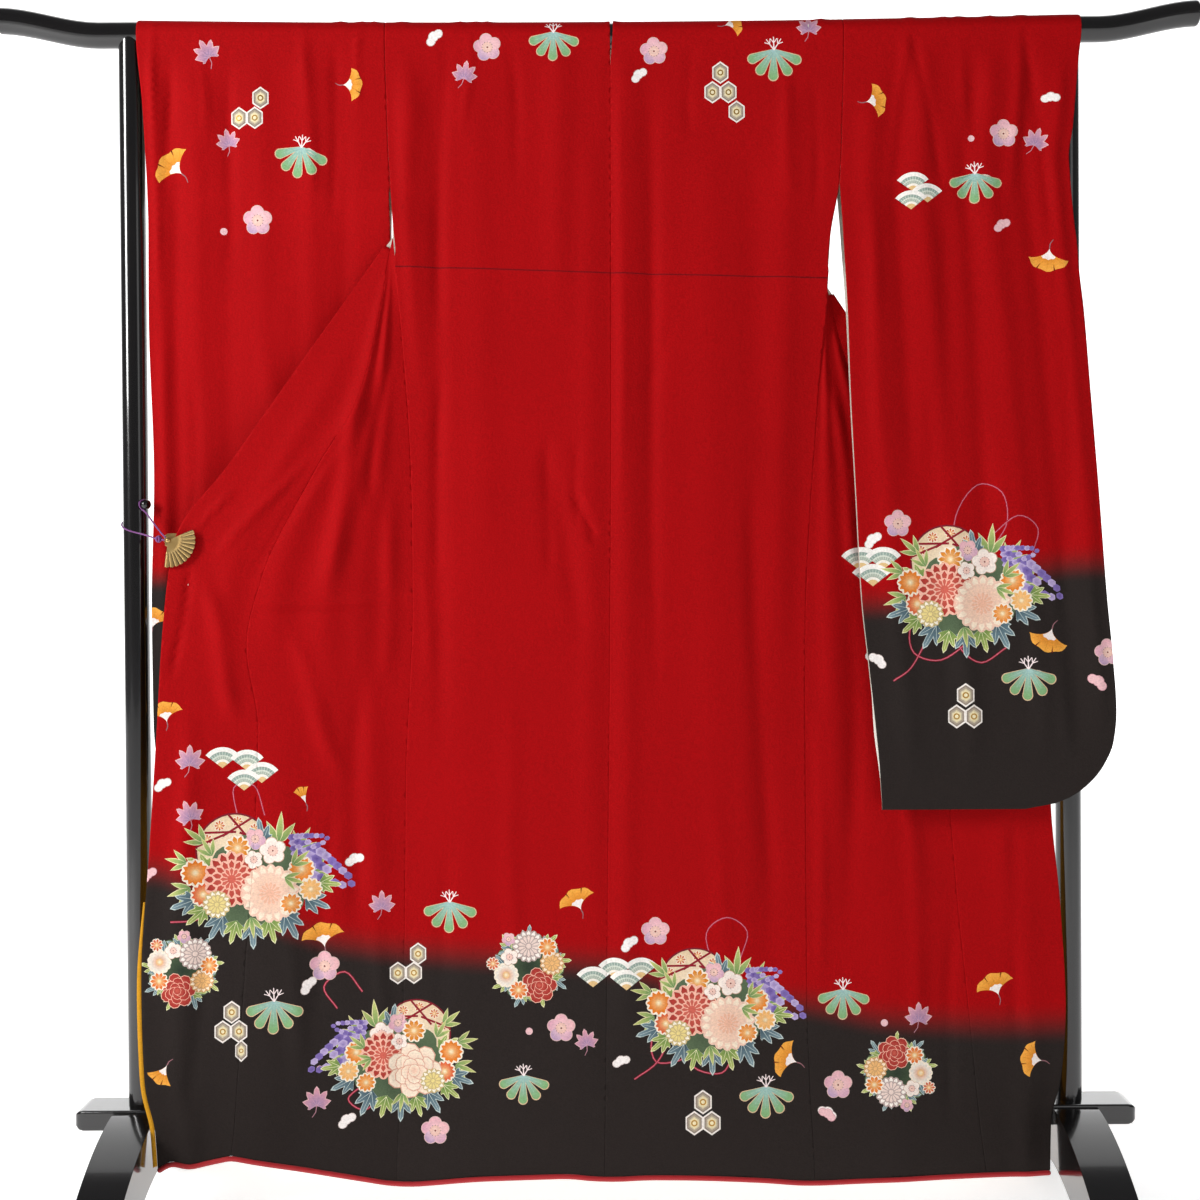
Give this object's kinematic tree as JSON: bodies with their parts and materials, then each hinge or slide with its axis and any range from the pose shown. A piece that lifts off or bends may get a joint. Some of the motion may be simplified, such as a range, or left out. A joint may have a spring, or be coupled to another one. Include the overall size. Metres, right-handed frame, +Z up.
{
  "type": "furisode kimono on a kimono stand",
  "caption": "Long-sleeved silk kimono spread over the bar of a black lacquer stand, back to the viewer, with its left front drawn aside to a fan-shaped clip.",
  "frame": {"origin": "on the floor, midway between the stand's feet, under the middle of the bar", "axes": "+Z up, the kimono's back faces -Y, X runs along the bar to the viewer's right"},
  "size_m": [1.66, 0.56, 1.6808],
  "materials": {
    "silk": "crepe silk dyed red above and near-black below, with flowers",
    "lining_gold": "plain gold silk lining",
    "lining_white": "plain white silk lining",
    "hem_red": "padded red silk roll",
    "cord_purple": "twisted purple cord",
    "lacquer": "gloss black lacquer",
    "brass": "satin brass"
  },
  "bodies": {
    "root": {"body_left": "silk", "body_right": "silk", "okumi_left": "silk", "okumi_right": "silk", "sleeve_left": "silk", "sleeve_right": "silk", "collar": "silk", "hem_roll": "hem_red", "lining_edge_left": "lining_gold", "sleeve_lining_right": "lining_white", "stand_bar": "lacquer", "stand_post_left": "lacquer", "stand_post_right": "lacquer", "stand_beam": "lacquer", "stand_foot_left": "lacquer", "stand_foot_right": "lacquer", "stand_knob": "lacquer", "clip_fan": "brass", "clip_back": "brass", "clip_pin": "brass", "clip_pivot": "brass", "clip_cord": "cord_purple", "clip_cord_end": "cord_purple", "clip_knot": "cord_purple"}
  },
  "joints": []
}
